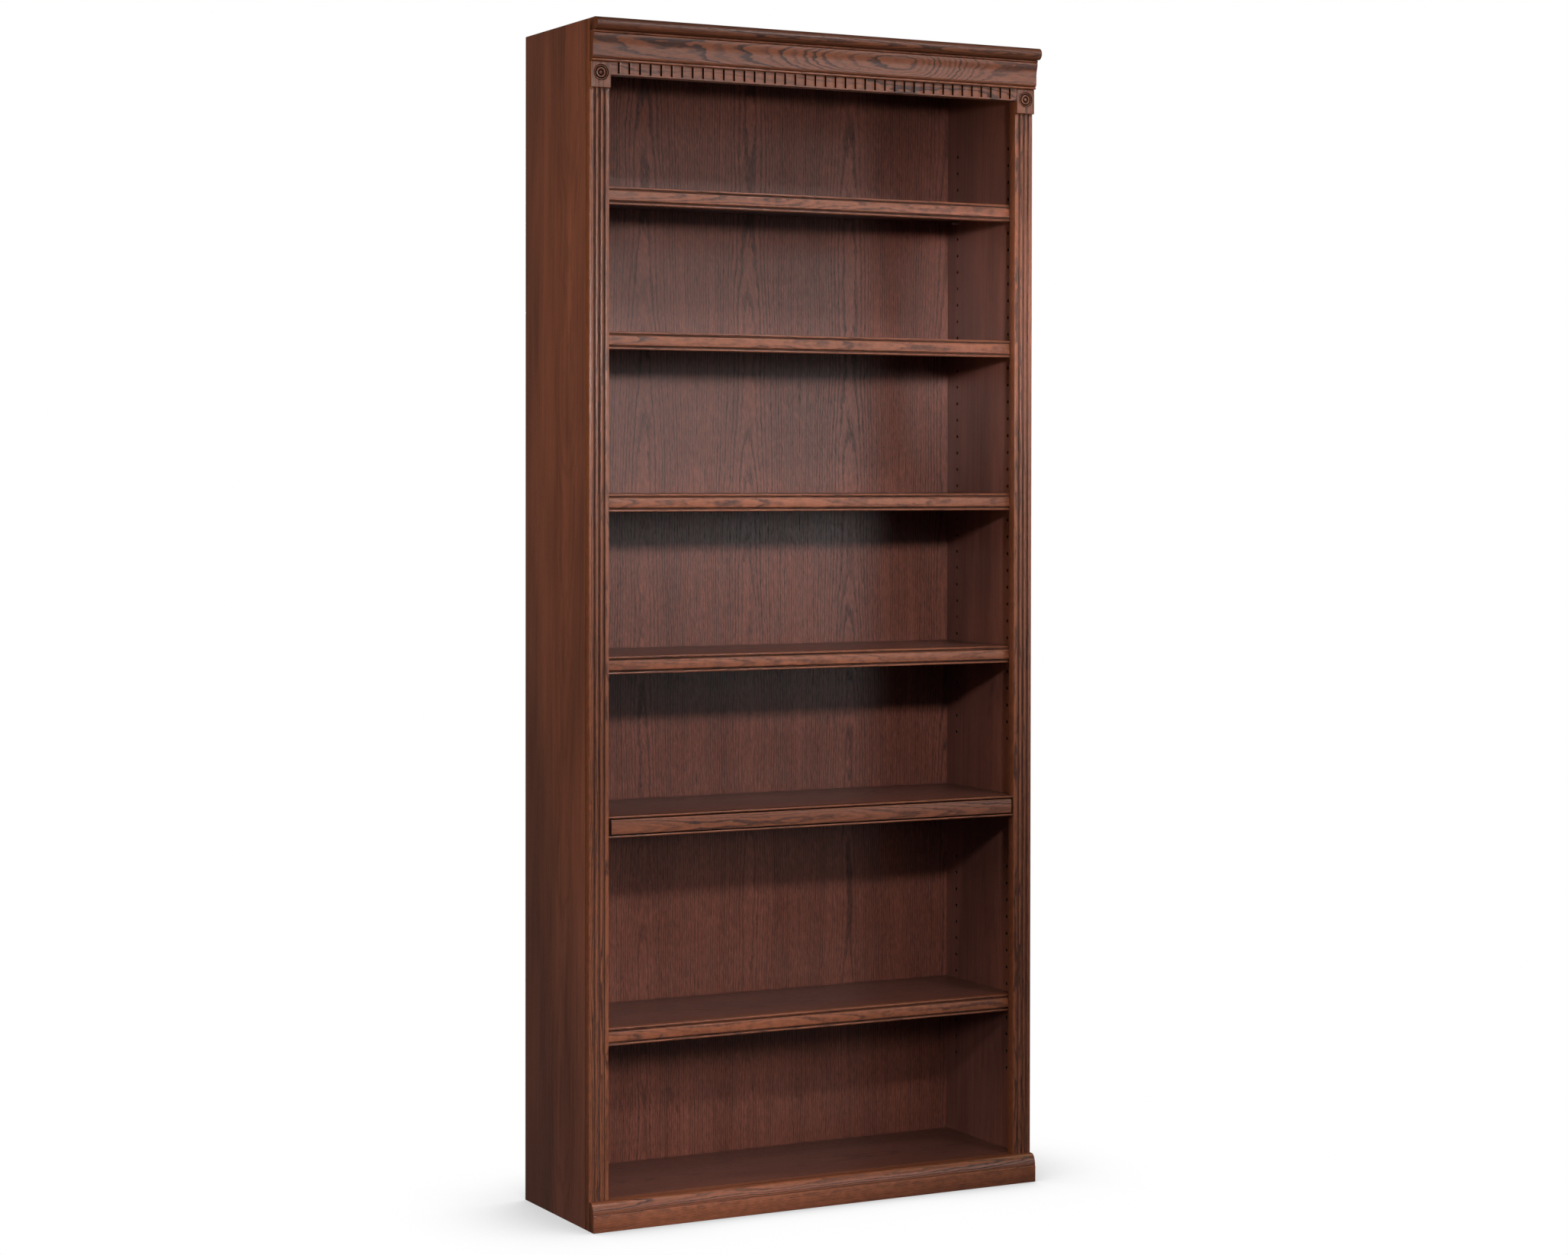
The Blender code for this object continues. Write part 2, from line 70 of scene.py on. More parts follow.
# Edges
EASE = 0.0009  # rounding of a board's edges
SIDE_EASE = 0.0004  # rounding of the sides, which meet the stiles flush
END_EASE = 0.0004  # rounding round a moulding's cut end
END_STEPS = 2
SHEET_EASE = 0.0005  # rounding of the back panel
ROUND_STEPS = 3
CREASE_ANGLE = math.radians(38)

# Fits
GAP = 0.0003  # clearance between pieces that fit into each other
PAST = 0.002  # how far a cutter reaches past the piece it cuts

# Crown cap
CAP_STEPS = 24
CAP_LINE = 0.012  # width of the painted shadow line under the cap, at the frieze

# Crown frieze, as projections from the back of the moulding and drops from its top
BEAD_RADIUS = 0.0022
BEAD_OUT = 0.0169
QUIRK_OUT, QUIRK_DROP = 0.0163, 0.0047
COVE_OUT, COVE_DROP, COVE_HEIGHT = 0.0181, 0.0056, 0.0224
FLAT_OUT = 0.0138
ROUND_OVER = (0.0036, 0.0056)
FOOT_HEIGHT = 0.0049
FOOT_BEAD_RADIUS = 0.0021
FOOT_OUT = 0.0100
BEAD_STEPS = 12
COVE_STEPS = 18
ROUND_OVER_STEPS = 9

# Base board
STEP_HEIGHT = 0.0308
STEP_DEPTH = 0.0012
STEP_NOSE = (0.0006, 0.0008)  # depth and height of the rounding at the step's edge
STEP_NOSE_DROP = 0.0012
STEP_QUIRK_DROP = 0.0002
BASE_ROUND_DEPTH = 0.0118
BASE_ROUND_STEPS = 16

# Stiles
FLUTE_PITCH = 0.0094
FLUTE_RADIUS = 0.0024
FLUTE_INSET = 0.0003  # how far the flutes' centres lie behind the face
FLUTE_ARRIS = 0.0005
FLUTE_ARRIS_DEPTH = 0.00006
FLUTE_STEPS = 12
# Painted shade at the bottom of the flutes
FLUTE_SHADE = 0.55

# Dentil strip
KERF_COUNT = 40
KERF_PITCH = 0.0207
KERF_WIDTH = 0.0034
KERF_DEPTH = 0.0036
KERF_FLOOR = 0.0026  # height of the uncut strip along the bottom
KERF_RUN_OUT = 0.0004  # half the height over which a kerf runs out
KERF_FADED = 0.00002  # depth that a kerf keeps in the uncut strip
KERF_ARRIS = 0.0005

# Rosettes: radius and depth of each turned ring, with the painted shade that lies in it
ROSETTE_DROP = 0.0194
ROSETTE_SEGMENTS = 72
ROSETTE_RINGS = (
    (0.0, 0.0002, 0.0),
    (0.0014, 0.0004, 0.0),
    (0.0026, 0.0009, 0.1),
    (0.0036, 0.0017, 0.8),
    (0.0042, 0.0027, 1.0),
    (0.0047, 0.0030, 1.0),
    (0.0052, 0.0026, 0.9),
    (0.0058, 0.0013, 0.5),
    (0.0066, 0.0006, 0.0),
    (0.0076, 0.0004, 0.0),
    (0.0086, 0.0008, 0.0),
    (0.0093, 0.0014, 0.8),
    (0.0098, 0.0026, 1.0),
    (0.0103, 0.0031, 1.0),
    (0.0107, 0.0026, 0.9),
    (0.0112, 0.0012, 0.5),
    (0.0117, 0.0006, 0.0),
    (0.0123, 0.0005, 0.0),
    (0.0129, 0.0010, 0.1),
    (0.0134, 0.0018, 0.7),
    (0.0138, 0.0021, 1.0),
    (0.0141, 0.0012, 0.8),
    (0.0144, 0.0, 0.0),
)

# Nosings, measured in from the front plane and from the top and the bottom
FILLET_RECESS = 0.0020
FILLET_HEIGHT = 0.0034
FILLET_CHAMFER = (0.0003, 0.0004)
QUIRK_IN = 0.0042
QUIRK_SLOPE = 0.0004
# Painted shade in the nosings' quirks
QUIRK_SHADE = 0.7
BAND_ROUND = 0.0016
BAND_STEPS = 6
BAND_MARGIN = 0.0070
FIXED_BAND_MARGIN = 0.0060
BAND_END_GAP = 0.0050
NOTCH_MARGIN = 0.0012
NOTCH_DEPTH = 0.0039

# Side panels
HOLE_PITCH = 0.032
HOLE_RADIUS = 0.0028
HOLE_DEPTH = 0.011
HOLE_LIP = 0.0005
HOLE_SEGMENTS = 20
HOLE_COLUMNS = ((0.832, 36), (0.205, 13))  # first hole's height, count
HOUSED_SHELVES = ("fixed_shelf", "bottom_shelf")
TONGUE_DROP = 0.0015  # how far a housed shelf's end tongues lie below its top

# Where the boards lay in their logs
LEAF = 0.219  # width of the back panel's veneer leaves
HEART_SLICES = 48
FRIEZE_HEART = (  # place along the frieze, and how far the log's heart lies behind its middle there
    (-0.46, 0.060),
    (-0.24, 0.055),
    (-0.12, 0.047),
    (0.08, 0.030),
    (0.125, 0.0275),
    (0.155, 0.027),
    (0.185, 0.0285),
    (0.21, 0.032),
    (0.32, 0.055),
    (0.36, 0.059),
    (0.46, 0.061),
)

# Pins: distances in from the stem's tip, from the collar and from the head's end, each with its
# share of the stem's or the head's radius
PIN_SEGMENTS = 24
PIN_TIP = ((0.0, 0.6), (0.0004, 0.9), (0.0010, 1.0))
PIN_COLLAR = ((0.0, 0.97), (0.0002, 1.0), (0.0008, 1.0), (0.0010, 0.96), (0.0012, 0.88))
PIN_HEAD = ((0.0012, 0.88), (0.0004, 0.82), (0.0, 0.66))

# Oak: how many features a metre each noise has across the grain and along it, and the noise's
# range over which a pore's edge fades in
RING_WOBBLE = (38.0, 9.0)
RING_JAGS = (190.0, 40.0)
SHORT_PORES = (2300.0, 95.0)
SHORT_PORE_EDGE = (0.56, 0.68)
LONG_PORES = (1050.0, 70.0)
LONG_PORE_EDGE = (0.53, 0.65)
CLOUDS = (14.0, 2.2)
STREAKS = (160.0, 3.0)
FLECKS = (420.0, 70.0)
PATCHES = (90.0, 60.0)

# Oak: the heart's wander, as features a metre along the log, reach, and where in the noise it starts
HEART_DRIFT, DRIFT_REACH, DRIFT_SEED = 4.0, 0.014, (3.7, 1.3)
HEART_SWAY, SWAY_REACH, SWAY_SEED = 2.6, 0.016, (9.1, 6.2)

# Oak: the years' rings
WOBBLE_REACH = 0.0050
JAG_REACH = 0.0026
SPRING_SHARE = 0.40  # porous share of each ring
SPRING_OPENS = 0.10  # share of the ring over which the pores begin
SPRING_FADES = (0.55, 1.5)  # where they fade out, as multiples of the porous share
YEAR_CHANGE = 2.5  # changes a metre in how strong one year's ring is
YEAR_STEP, YEAR_SEED = 3.17, 5.5  # where in the noise each year is taken from
FAINTEST_YEAR = 0.30
FAINTEST_PORE = 0.30  # how strongly the pores show in summer wood

# Oak's finish
# Colour of the painted shade laid into recesses, bores and on the cap.
PAINTED_SHADE_COLOR = (0.0105, 0.0048, 0.0036)
PAINTED_SHADE_THINNEST = 0.86  # share of the painted shade left where it is thinnest
CAP_SHADE = 0.32  # painted shade: the cap's colour is darkened below that of the boards under it
PORE_SHADE = 0.30  # the pores' colour, as a share of the spring wood's
HIGHLIGHT_AND_WEAR_LIFT = 1.55  # colour of the painted highlight along the edges, partly rubbed wear, as a multiple of the summer wood's
HIGHLIGHT_AND_WEAR_RANGE = (0.10, 0.62)  # how strongly the painted highlight, partly rubbed wear, shows along an edge
OAK_ROUGHNESS = 0.30
PORE_HAZE, CLOUD_HAZE, PAINTED_SHADE_HAZE = 0.22, 0.08, 0.30  # what each adds to the roughness
OAK_SPECULAR = 0.5
PAINTED_SHADE_DULLING = 0.42  # how much the painted shade takes off the specular level
OAK_RELIEF = 0.00025
OAK_RELIEF_STRENGTH = 0.35

# Nickel
NICKEL_BRIGHT = (0.66, 0.63, 0.58)
NICKEL_DULL = (0.44, 0.41, 0.37)
NICKEL_BRUSH = (9000.0, 500.0, 500.0)
NICKEL_PATCHES = (420.0, 420.0, 420.0)
NICKEL_RELIEF = 0.00004

# Floor
FLOOR_RADIUS = 60.0
FLOOR_SEGMENTS = 96
FLOOR_GAP = 0.0005  # keeps the floor from touching the case's foot
FLOOR_SHADE = 0.62
FLOOR_SHADE_REACH = 0.30

# Light
WHITE = (1.0, 1.0, 1.0)
WARM = (1.0, 0.76, 0.42)
LAMPS = (  # name, place, target, width, height, watts, colour, spread in degrees
    ("key", (-0.45, -2.50, 1.955), (-0.07, 0.0, 1.20), 0.24, 0.24, 5.3, WHITE, 57.0),
    ("top", (0.9, -2.0, 3.2), (0.35, -0.15, 1.98), 0.4, 0.4, 8.0, WHITE, 100.0),
    ("right_side", (-0.9, -3.2, 1.95), (0.53, -0.15, 1.70), 0.25, 0.25, 0.6, WHITE, 14.0),
    ("sheen", (3.4, -5.3, 1.9), (0.2, -0.1, 1.6), 2.4, 3.0, 43.0, WHITE, 180.0),
    ("low_fill", (-0.75, -1.6, 0.85), (-0.25, -0.15, 0.08), 0.3, 0.3, 1.8, WHITE, 50.0),
    ("left_fill", (-2.2, -0.3, 1.65), (-0.457, 0.0, 1.35), 0.9, 1.8, 24.0, WARM, 180.0),
    ("right_fill", (2.2, -0.1, 1.65), (0.457, 0.0, 1.35), 0.9, 1.8, 24.0, WARM, 180.0),
    ("back_fill", (1.4, 4.5, 2.2), (0.0, 0.1, 1.1), 1.6, 1.6, 110.0, WHITE, 180.0),
)
WORLD_LIGHT = 0.060  # how brightly the white surroundings light the case
WORLD_SEEN = 1.0  # how bright they look to the camera

# Camera
CAMERA_PLACE = (-2.8002, -5.3085, 1.3326)
CAMERA_TURN = (math.radians(89.287), 0.0, math.radians(-27.770))
CAMERA_ROLL = math.radians(0.076)
LENS = 74.22
SENSOR_WIDTH = 36.0
SHIFT_UP = -0.0715
FAR_CLIP = 200.0


# ---- small helpers ----


def mix(a, b, share):
    return a + (b - a) * share


def arc(center, radii, start, end, steps):
    """Points on an ellipse's arc, with angles in degrees."""
    points = []
    for i in range(steps + 1):
        angle = math.radians(mix(start, end, i / steps))
        points.append((center[0] + radii[0] * math.cos(angle), center[1] + radii[1] * math.sin(angle)))
    return points


def circle(center, radius, segments):
    """Points round a full circle."""
    return arc(center, (radius, radius), 0, 360 - 360 / segments, segments - 1)


def end_x(low, high, side):
    """The X of a box's left end if side is -1, and of its right end if it is 1."""
    return high.x if side > 0 else low.x


def coated(points, painted_shade=0.0, highlight_and_wear=0.0):
    """The same points, each with the glaze that lies on it and how worn it is."""
    return [(u, v, painted_shade, highlight_and_wear) for u, v in points]


def new_shape():
    bm = bmesh.new()
    bm.verts.layers.float.new("painted_shade")
    bm.verts.layers.float.new("highlight_and_wear")
    return bm


def add_point(bm, place, painted_shade=0.0, highlight_and_wear=0.0):
    vertex = bm.verts.new(place)
    vertex[bm.verts.layers.float["painted_shade"]] = painted_shade
    vertex[bm.verts.layers.float["highlight_and_wear"]] = highlight_and_wear
    return vertex


def bridge(bm, one, two):
    """Quads between two closed rings of vertices with the same count."""
    for i in range(len(one)):
        j = (i + 1) % len(one)
        bm.faces.new((one[i], one[j], two[j], two[i]))


def skin(bm, rings):
    """Quads from each ring of vertices to the next, and a face over each end."""
    for one, two in zip(rings, rings[1:]):
        bridge(bm, one, two)
    bm.faces.new(rings[0])
    bm.faces.new(rings[-1])


def rounded_box(low, high, radius=EASE):
    """A box with rounded edges, lighter along their middle: a painted highlight, partly rubbed wear."""
    bm = new_shape()
    bmesh.ops.create_cube(bm, size=1.0)
    for vertex in bm.verts:
        vertex.co = [mix(low[k], high[k], vertex.co[k] + 0.5) for k in range(3)]
    bmesh.ops.bevel(
        bm, geom=list(bm.edges), offset=radius, segments=ROUND_STEPS, profile=0.5, affect="EDGES"
    )
    highlight_and_wear = bm.verts.layers.float["highlight_and_wear"]
    for vertex in bm.verts:
        inset = sorted(min(vertex.co[k] - low[k], high[k] - vertex.co[k]) for k in range(3))
        vertex[highlight_and_wear] = max(0.0, 1.0 - inset[1] / radius)
    return bm


def extruded(outline, place, start, end):
    """A closed outline drawn from start to end, with eased ends."""
    bm = new_shape()
    rings = []
    for w in (start, end):
        rings.append([add_point(bm, place(u, v, w), painted_shade, highlight_and_wear) for u, v, painted_shade, highlight_and_wear in outline])
    caps = [bm.faces.new(ring) for ring in rings]
    bridge(bm, *rings)
    edges = list({edge for cap in caps for edge in cap.edges})
    bmesh.ops.bevel(bm, geom=edges, offset=END_EASE, segments=END_STEPS, profile=0.5, affect="EDGES")
    return bm


def along_x(y, z, x):
    return x, y, z


def along_z(x, y, z):
    return x, y, z


# ---- where each board lay in its log ----


class Log:
    """A board's place in its log.

    along and face are axes: the way the grain runs, and the axis that the board's face looks along.
    heart is how far the log's heart lies behind the middle of the board, beside is how far to one
    side, tilt how fast it drifts away along the board, lean how fast it drifts sideways, and start
    where along the log the board was. Where the drift changes along the board, heart is a row of
    (place along it, heart) pairs. leaf is the width of a veneer's leaves, each laid as the mirror
    image of the last, and slip how much later along the log the grain starts for each metre across.
    """

    def __init__(
        self, along, face, heart, beside=0.0, tilt=0.0, start=0.0, lean=0.0, leaf=0.0, slip=0.0
    ):
        self.along = along
        self.face = face
        self.across = 3 - along - face
        self.heart = heart
        self.beside = beside
        self.tilt = tilt
        self.start = start
        self.lean = lean
        self.leaf = leaf
        self.slip = slip

    def depth(self, run):
        """How far behind the board's middle the heart lies, at one place along it."""
        if not isinstance(self.heart, tuple):
            return self.heart + self.tilt * run
        for (run_a, heart_a), (run_b, heart_b) in zip(self.heart, self.heart[1:]):
            if run <= run_b:
                break
        return mix(heart_a, heart_b, (run - run_a) / (run_b - run_a))

    def place(self, co, middle):
        """A point's place in the log: across the grain, out from the heart, and along the grain."""
        offset = [co[k] - middle[k] for k in range(3)]
        run = offset[self.along]
        across = offset[self.across] + self.beside + self.lean * run
        slipped = run + self.start + self.slip * offset[self.across]
        if self.leaf:
            across = abs(across % (2 * self.leaf) - self.leaf) - self.leaf / 2
        return across, offset[self.face] + self.depth(run), slipped


def lay_grain(mesh, log, middle):
    """Writes each point's place in its log, which the oak materials read."""
    attribute = mesh.attributes.new("log", "FLOAT_VECTOR", "POINT")
    for vertex, value in zip(mesh.vertices, attribute.data):
        value.vector = log.place(vertex.co, middle)


def sliced(bm, axis, places):
    """Cuts the shape across an axis at some places, so that its grain can bend there."""
    for place in places:
        origin = [0.0, 0.0, 0.0]
        normal = [0.0, 0.0, 0.0]
        origin[axis] = place
        normal[axis] = 1.0
        geometry = list(bm.verts) + list(bm.edges) + list(bm.faces)
        bmesh.ops.bisect_plane(bm, geom=geometry, plane_co=origin, plane_no=normal, dist=1e-7)
    return bm


def even_places(start, end, count):
    return [mix(start, end, i / count) for i in range(1, count)]


def finish_piece(name, bm, body, nodes, material, log=None):
    """Makes the piece's mesh, lays its grain, and puts it in its node's place."""
    bmesh.ops.recalc_face_normals(bm, faces=bm.faces)
    mesh = bpy.data.meshes.new(name)
    bm.to_mesh(mesh)
    bm.free()
    low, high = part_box(nodes[0])
    if log:
        lay_grain(mesh, log, (low + high) / 2)
    mesh.shade_smooth()
    mesh.set_sharp_from_angle(angle=CREASE_ANGLE)
    mesh.materials.append(material)
    piece = bpy.data.objects.new(name, mesh)
    bpy.context.scene.collection.objects.link(piece)
    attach(piece, body)
    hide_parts(*nodes)


def cut(bm, cutter_bm):
    """The shape less the cutter, as a new bmesh that keeps its own points' painted shade and painted
    highlight.
    """
    objects = []
    for name, source in (("cut_me", bm), ("cutter", cutter_bm)):
        mesh = bpy.data.meshes.new(name)
        bmesh.ops.recalc_face_normals(source, faces=source.faces)
        source.to_mesh(mesh)
        source.free()
        obj = bpy.data.objects.new(name, mesh)
        bpy.context.scene.collection.objects.link(obj)
        objects.append(obj)
    target, cutter = objects
    boolean = target.modifiers.new("cut", "BOOLEAN")
    boolean.operation = "DIFFERENCE"
    boolean.solver = "EXACT"
    boolean.object = cutter
    bpy.context.view_layer.update()
    evaluated = target.evaluated_get(bpy.context.evaluated_depsgraph_get())
    result = bmesh.new()
    result.from_mesh(evaluated.to_mesh())
    evaluated.to_mesh_clear()
    for obj in objects:
        mesh = obj.data
        bpy.data.objects.remove(obj, do_unlink=True)
        bpy.data.meshes.remove(mesh)
    return result


def add_box(bm, low, high):
    corners = []
    for x in (low[X], high[X]):
        for y in (low[Y], high[Y]):
            corners += [add_point(bm, (x, y, z)) for z in (low[Z], high[Z])]
    for face in ((0, 1, 3, 2), (4, 6, 7, 5), (0, 4, 5, 1), (2, 3, 7, 6), (0, 2, 6, 4), (1, 5, 7, 3)):
        bm.faces.new([corners[i] for i in face])


# ---- materials ----


class Graph:
    """Short ways to add nodes to a material."""

    def __init__(self, name):
        self.material = bpy.data.materials.new(name)
        self.material.use_nodes = True
        self.tree = self.material.node_tree
        self.shader = self.tree.nodes["Principled BSDF"]

    def link(self, value, socket):
        if isinstance(value, bpy.types.NodeSocket):
            self.tree.links.new(value, socket)
        else:
            socket.default_value = value

    def math(self, operation, a, b=0.0, c=0.0):
        node = self.tree.nodes.new("ShaderNodeMath")
        node.operation = operation
        for value, socket in zip((a, b, c), node.inputs):
            self.link(value, socket)
        return node.outputs[0]

    def attribute(self, name):
        node = self.tree.nodes.new("ShaderNodeAttribute")
        node.attribute_name = name
        return node

    def split(self, vector):
        node = self.tree.nodes.new("ShaderNodeSeparateXYZ")
        self.link(vector, node.inputs[0])
        return tuple(node.outputs)

    def combine(self, x, y, z):
        node = self.tree.nodes.new("ShaderNodeCombineXYZ")
        for value, socket in zip((x, y, z), node.inputs):
            self.link(value, socket)
        return node.outputs[0]

    def scaled(self, parts, scales):
        """The vector whose three parts are each multiplied by a scale of its own."""
        return self.combine(*(self.math("MULTIPLY", part, scale) for part, scale in zip(parts, scales)))

    def grain_noise(self, place, features, detail=2.0, roughness=0.5):
        """Noise at a place in the log, with so many features a metre across the grain and along it."""
        across, along = features
        return self.noise(self.scaled(place, (across, across, along)), detail, roughness)

    def noise(self, vector, detail=2.0, roughness=0.5):
        """Noise at scale 1, about 0.5 in the middle."""
        node = self.tree.nodes.new("ShaderNodeTexNoise")
        node.inputs["Scale"].default_value = 1.0
        node.inputs["Detail"].default_value = detail
        node.inputs["Roughness"].default_value = roughness
        self.link(vector, node.inputs["Vector"])
        return node.outputs["Fac"]

    def swing(self, noise, amount):
        """Noise turned into a number between about -amount / 2 and amount / 2."""
        return self.math("MULTIPLY", self.math("SUBTRACT", noise, 0.5), amount)

    def ramp(self, value, low, high, to_low=0.0, to_high=1.0):
        node = self.tree.nodes.new("ShaderNodeMapRange")
        node.interpolation_type = "SMOOTHSTEP"
        for number, socket in zip((value, low, high, to_low, to_high), node.inputs):
            self.link(number, socket)
        return node.outputs[0]

    def blend(self, share, a, b, kind="MIX"):
        node = self.tree.nodes.new("ShaderNodeMix")
        node.data_type = "RGBA"
        node.blend_type = kind
        node.clamp_factor = True
        self.link(share, node.inputs[0])
        for value, socket in ((a, node.inputs[6]), (b, node.inputs[7])):
            self.link((*value, 1.0) if isinstance(value, tuple) else value, socket)
        return node.outputs[2]

    def bump(self, height, strength, distance):
        node = self.tree.nodes.new("ShaderNodeBump")
        node.inputs["Strength"].default_value = strength
        node.inputs["Distance"].default_value = distance
        self.link(height, node.inputs["Height"])
        self.link(node.outputs[0], self.shader.inputs["Normal"])


def ring_place(g, place, ring, jag):
    """A spot's number of rings from the heart. The heart wanders and the rings are uneven round it."""
    across, out, run = place
    drift = g.noise(g.combine(*DRIFT_SEED, g.math("MULTIPLY", run, HEART_DRIFT)), detail=1.0)
    sway = g.noise(g.combine(*SWAY_SEED, g.math("MULTIPLY", run, HEART_SWAY)), detail=1.0)
    out = g.math("ADD", out, g.swing(drift, DRIFT_REACH))
    across = g.math("ADD", across, g.swing(sway, SWAY_REACH))
    radius = g.math("SQRT", g.math("ADD", g.math("POWER", out, 2.0), g.math("POWER", across, 2.0)))
    radius = g.math("ADD", radius, g.swing(g.grain_noise(place, RING_WOBBLE), WOBBLE_REACH * jag))
    radius = g.math("ADD", radius, g.swing(g.grain_noise(place, RING_JAGS), JAG_REACH * jag))
    return g.math("DIVIDE", radius, ring)


def spring_wood(g, rings, run):
    """How porous a spot is: spring wood opens each ring sharply and fades into dense summer wood."""
    year = g.math("FLOOR", rings)
    season = g.math("FRACT", rings)
    fade = g.ramp(season, SPRING_SHARE * SPRING_FADES[0], SPRING_SHARE * SPRING_FADES[1], 1.0, 0.0)
    spring = g.math("MULTIPLY", fade, g.ramp(season, 0.0, SPRING_OPENS))
    along = g.math("MULTIPLY", run, YEAR_CHANGE)
    strength = g.noise(g.combine(g.math("MULTIPLY", year, YEAR_STEP), YEAR_SEED, along), detail=0.0)
    return g.math("MULTIPLY", spring, g.ramp(strength, 0.25, 0.70, FAINTEST_YEAR, 1.0))


def pore_marks(g, place, spring):
    """Dark dashes along the grain, crowded in the spring wood."""
    short = g.ramp(g.grain_noise(place, SHORT_PORES, 1.0), *SHORT_PORE_EDGE)
    long = g.ramp(g.grain_noise(place, LONG_PORES, 2.0, 0.6), *LONG_PORE_EDGE)
    dashes = g.math("MAXIMUM", short, long)
    crowding = g.math("MULTIPLY_ADD", spring, 1.0 - FAINTEST_PORE, FAINTEST_PORE)
    return g.math("MULTIPLY", dashes, crowding)


def oak(name, late, early, ring=0.0032, contrast=0.8, pores=0.7, fleck=0.3, blotch=0.35, jag=1.0):
    """Stained, lacquered oak.

    late and early are the colours of the dense summer wood and of the porous spring wood, and ring
    is the rings' spacing. contrast, pores, fleck and blotch say how strongly the rings, the pores,
    the short flecks and the uneven stain show, and jag how ragged the rings are.
    """
    g = Graph(name)
    place = g.split(g.attribute("log").outputs["Vector"])
    spring = spring_wood(g, ring_place(g, place, ring, jag), place[2])
    pore = pore_marks(g, place, spring)
    cloud = g.grain_noise(place, CLOUDS, 3.0)
    streak = g.grain_noise(place, STREAKS, 3.0)
    flecks = g.grain_noise(place, FLECKS, 2.0, 0.6)
    color = g.blend(g.math("MULTIPLY", spring, contrast), late, early)
    shade = g.math("ADD", g.swing(cloud, blotch * 1.8), g.swing(streak, blotch))
    shade = g.math("ADD", shade, g.swing(flecks, fleck * 2.0))
    shade = g.math("ADD", shade, 1.0)
    color = g.blend(1.0, color, g.combine(shade, shade, shade), kind="MULTIPLY")
    color = g.blend(g.math("MULTIPLY", pore, pores), color, tuple(c * PORE_SHADE for c in early))

    # Painted shade darkens the recesses, and a painted highlight, partly rubbed wear, lightens the edges.
    patchy = g.grain_noise(place, PATCHES)
    painted_shade = g.attribute("painted_shade").outputs["Fac"]
    highlight_and_wear = g.attribute("highlight_and_wear").outputs["Fac"]
    painted_shade_share = g.math("MULTIPLY", painted_shade, g.ramp(patchy, 0.2, 0.6, PAINTED_SHADE_THINNEST, 1.0))
    color = g.blend(painted_shade_share, color, PAINTED_SHADE_COLOR)
    highlight_and_wear_share = g.math("MULTIPLY", highlight_and_wear, g.ramp(patchy, 0.35, 0.70, *HIGHLIGHT_AND_WEAR_RANGE))
    color = g.blend(highlight_and_wear_share, color, tuple(min(1.0, c * HIGHLIGHT_AND_WEAR_LIFT) for c in late))
    g.link(color, g.shader.inputs["Base Color"])

    # Pores and the painted shade are duller than the lacquer over plain wood.
    haze = g.math("MULTIPLY_ADD", pore, PORE_HAZE, OAK_ROUGHNESS)
    haze = g.math("ADD", haze, g.swing(cloud, CLOUD_HAZE))
    haze = g.math("MULTIPLY_ADD", painted_shade, PAINTED_SHADE_HAZE, haze)
    g.link(haze, g.shader.inputs["Roughness"])
    specular = g.math("MULTIPLY_ADD", painted_shade, -PAINTED_SHADE_DULLING, OAK_SPECULAR)
    g.link(specular, g.shader.inputs["Specular IOR Level"])
    relief = g.math("MULTIPLY_ADD", pore, -1.0, g.math("MULTIPLY", spring, -0.35))
    relief = g.math("ADD", relief, g.swing(streak, 0.5))
    g.bump(relief, OAK_RELIEF_STRENGTH, OAK_RELIEF)
    return g.material


def nickel(name):
    """Plated steel with a fine turned brush and a few dull patches."""
    g = Graph(name)
    texture = g.tree.nodes.new("ShaderNodeTexCoord")
    place = g.split(texture.outputs["Object"])
    brush = g.noise(g.scaled(place, NICKEL_BRUSH), detail=2.0)
    dull = g.noise(g.scaled(place, NICKEL_PATCHES), detail=3.0)
    color = g.blend(g.ramp(dull, 0.4, 0.7), NICKEL_BRIGHT, NICKEL_DULL)
    g.link(color, g.shader.inputs["Base Color"])
    haze = g.math("ADD", g.math("MULTIPLY_ADD", brush, 0.16, 0.20), g.swing(dull, 0.12))
    g.link(haze, g.shader.inputs["Roughness"])
    g.shader.inputs["Metallic"].default_value = 1.0
    g.bump(brush, 0.2, NICKEL_RELIEF)
    return g.material


def floor_material():
    """An evenly glowing white floor, darkened by painted shadow close to what stands on it."""
    g = Graph("pale_floor")
    contact = g.tree.nodes.new("ShaderNodeAmbientOcclusion")
    contact.inputs["Distance"].default_value = FLOOR_SHADE_REACH
    shade = g.ramp(contact.outputs["AO"], 0.45, 1.0, FLOOR_SHADE, 1.0)
    g.shader.inputs["Base Color"].default_value = (0.0, 0.0, 0.0, 1.0)
    g.shader.inputs["Specular IOR Level"].default_value = 0.0
    g.link(g.combine(shade, shade, shade), g.shader.inputs["Emission Color"])
    g.shader.inputs["Emission Strength"].default_value = 1.0
    return g.material


# ---- the case ----


def board(name, material, log, body="case"):
    low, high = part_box(name)
    shape = rounded_box(low, high)
    finish_piece(f"{name}_board", shape, body, [name], material, log)


def moulding(name, outline, material, log, body="case"):
    """A moulding along X with a given end outline in (y, z)."""
    low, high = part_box(name)
    bm = extruded(outline, along_x, low.x, high.x)
    if isinstance(log.heart, tuple):
        sliced(bm, X, even_places(low.x, high.x, HEART_SLICES))
    finish_piece(f"{name}_piece", bm, body, [name], material, log)


